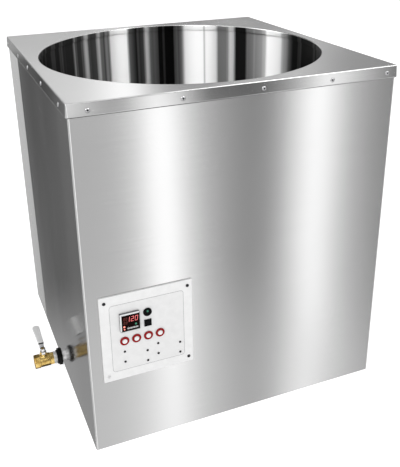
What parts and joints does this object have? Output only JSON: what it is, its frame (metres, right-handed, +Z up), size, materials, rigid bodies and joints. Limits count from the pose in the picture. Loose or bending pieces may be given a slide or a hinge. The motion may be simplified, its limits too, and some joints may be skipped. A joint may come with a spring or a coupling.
{
  "type": "melting tank",
  "caption": "Square steel-cased melting tank with a round open vessel, front control panel and side drain valve.",
  "frame": {"origin": "on the floor at the middle of the casing's footprint", "axes": "+Z up, the front with the control panel faces -Y, the drain valve points along -X"},
  "size_m": [0.8876, 0.8244, 0.885],
  "materials": {
    "brushed_steel": "fine vertical brushing",
    "tank_steel": "bright rolled",
    "bright_steel": "bright",
    "chromed_ball": "polished",
    "frame_steel": "mill",
    "heater_mica": "matt",
    "mineral_blanket": "felted",
    "black_nut": "moulded",
    "valve_brass": "machined and cast",
    "white_seal": "smooth",
    "pale_sleeve": "dipped vinyl",
    "panel_white": "satin",
    "overlay_white": "satin film",
    "dark_screw": "blackened",
    "black_case": "moulded",
    "bezel_grey": "smooth",
    "display_window": "smoked",
    "key_grey": "moulded",
    "switch_black": "smooth",
    "green_lens": "smooth",
    "ring_red": "smooth",
    "cap_white": "smooth",
    "terminal_ivory": "moulded",
    "loom_sleeve": "braided sleeve"
  },
  "bodies": {
    "root": {"top_plate": "brushed_steel", "casing_wrap": "brushed_steel", "back_panel": "brushed_steel", "vessel": "tank_steel", "top_rivets": "bright_steel", "back_screws": "bright_steel", "band_screws": "bright_steel", "probe_boss": "bright_steel", "temperature_probe": "bright_steel", "drain_stub": "bright_steel", "drain_elbow": "bright_steel", "drain_pipe": "bright_steel", "inner_locknut": "bright_steel", "spacer_sleeve": "bright_steel", "gland_nut": "bright_steel", "button_nuts": "bright_steel", "base_plate": "frame_steel", "base_frame": "frame_steel", "corner_posts": "frame_steel", "support_plate": "frame_steel", "heater_bands": "heater_mica", "floor_heater": "heater_mica", "blanket": "mineral_blanket", "floor_insulation": "mineral_blanket", "side_locknut": "black_nut", "valve_end": "valve_brass", "valve_body": "valve_brass", "valve_seats": "white_seal", "stem_packing": "white_seal", "control_panel": "panel_white", "panel_overlay": "overlay_white", "panel_screws": "dark_screw", "module_screw_set": "dark_screw", "relay_modules": "black_case", "controller_clamp": "black_case", "limit_thermostat": "black_case", "cord_gland": "black_case", "controller_body": "bezel_grey", "controller_window": "display_window", "round_switch": "switch_black", "square_switch": "switch_black", "button_rings": "ring_red", "terminal_block": "terminal_ivory", "wiring_loom": "loom_sleeve"},
    "valve_handle": {"valve_ball": "chromed_ball", "valve_stem": "valve_brass", "valve_lever": "bright_steel", "lever_nut": "bright_steel", "lever_sleeve": "pale_sleeve"},
    "round_paddle": {"round_rocker": "switch_black", "round_lens": "green_lens"},
    "square_paddle": {"square_rocker": "switch_black"},
    "cap_1": {"button_cap_1": "cap_white"},
    "cap_2": {"button_cap_2": "cap_white"},
    "cap_3": {"button_cap_3": "cap_white"},
    "cap_4": {"button_cap_4": "cap_white"},
    "key_1": {"key_1": "key_grey"},
    "key_2": {"key_2": "key_grey"},
    "key_3": {"key_3": "key_grey"},
    "key_4": {"key_4": "key_grey"}
  },
  "joints": [
    {"name": "valve_turn", "type": "hinge", "parent": "root", "child": "valve_handle", "pos_m": [-0.4595, -0.072, 0.064], "axis": [0, 0, 1], "range_deg": [0, 90]},
    {"name": "round_rock", "type": "hinge", "parent": "root", "child": "round_paddle", "pos_m": [-0.252, -0.4031, 0.3668], "axis": [1, 0, 0], "range_deg": [0, 18]},
    {"name": "square_rock", "type": "hinge", "parent": "root", "child": "square_paddle", "pos_m": [-0.252, -0.4031, 0.3375], "axis": [1, 0, 0], "range_deg": [0, 18]},
    {"name": "cap_1_press", "type": "slide", "parent": "root", "child": "cap_1", "axis": [0, 1, 0], "range_m": [0, 0.003], "stiffness_N_per_m": 400, "springref_m": -0.003},
    {"name": "cap_2_press", "type": "slide", "parent": "root", "child": "cap_2", "axis": [0, 1, 0], "range_m": [0, 0.003], "stiffness_N_per_m": 400, "springref_m": -0.003},
    {"name": "cap_3_press", "type": "slide", "parent": "root", "child": "cap_3", "axis": [0, 1, 0], "range_m": [0, 0.003], "stiffness_N_per_m": 400, "springref_m": -0.003},
    {"name": "cap_4_press", "type": "slide", "parent": "root", "child": "cap_4", "axis": [0, 1, 0], "range_m": [0, 0.003], "stiffness_N_per_m": 400, "springref_m": -0.003},
    {"name": "key_1_press", "type": "slide", "parent": "root", "child": "key_1", "axis": [0, 1, 0], "range_m": [0, 0.0005], "stiffness_N_per_m": 2000, "springref_m": -0.0005},
    {"name": "key_2_press", "type": "slide", "parent": "root", "child": "key_2", "axis": [0, 1, 0], "range_m": [0, 0.0005], "stiffness_N_per_m": 2000, "springref_m": -0.0005},
    {"name": "key_3_press", "type": "slide", "parent": "root", "child": "key_3", "axis": [0, 1, 0], "range_m": [0, 0.0005], "stiffness_N_per_m": 2000, "springref_m": -0.0005},
    {"name": "key_4_press", "type": "slide", "parent": "root", "child": "key_4", "axis": [0, 1, 0], "range_m": [0, 0.0005], "stiffness_N_per_m": 2000, "springref_m": -0.0005}
  ]
}
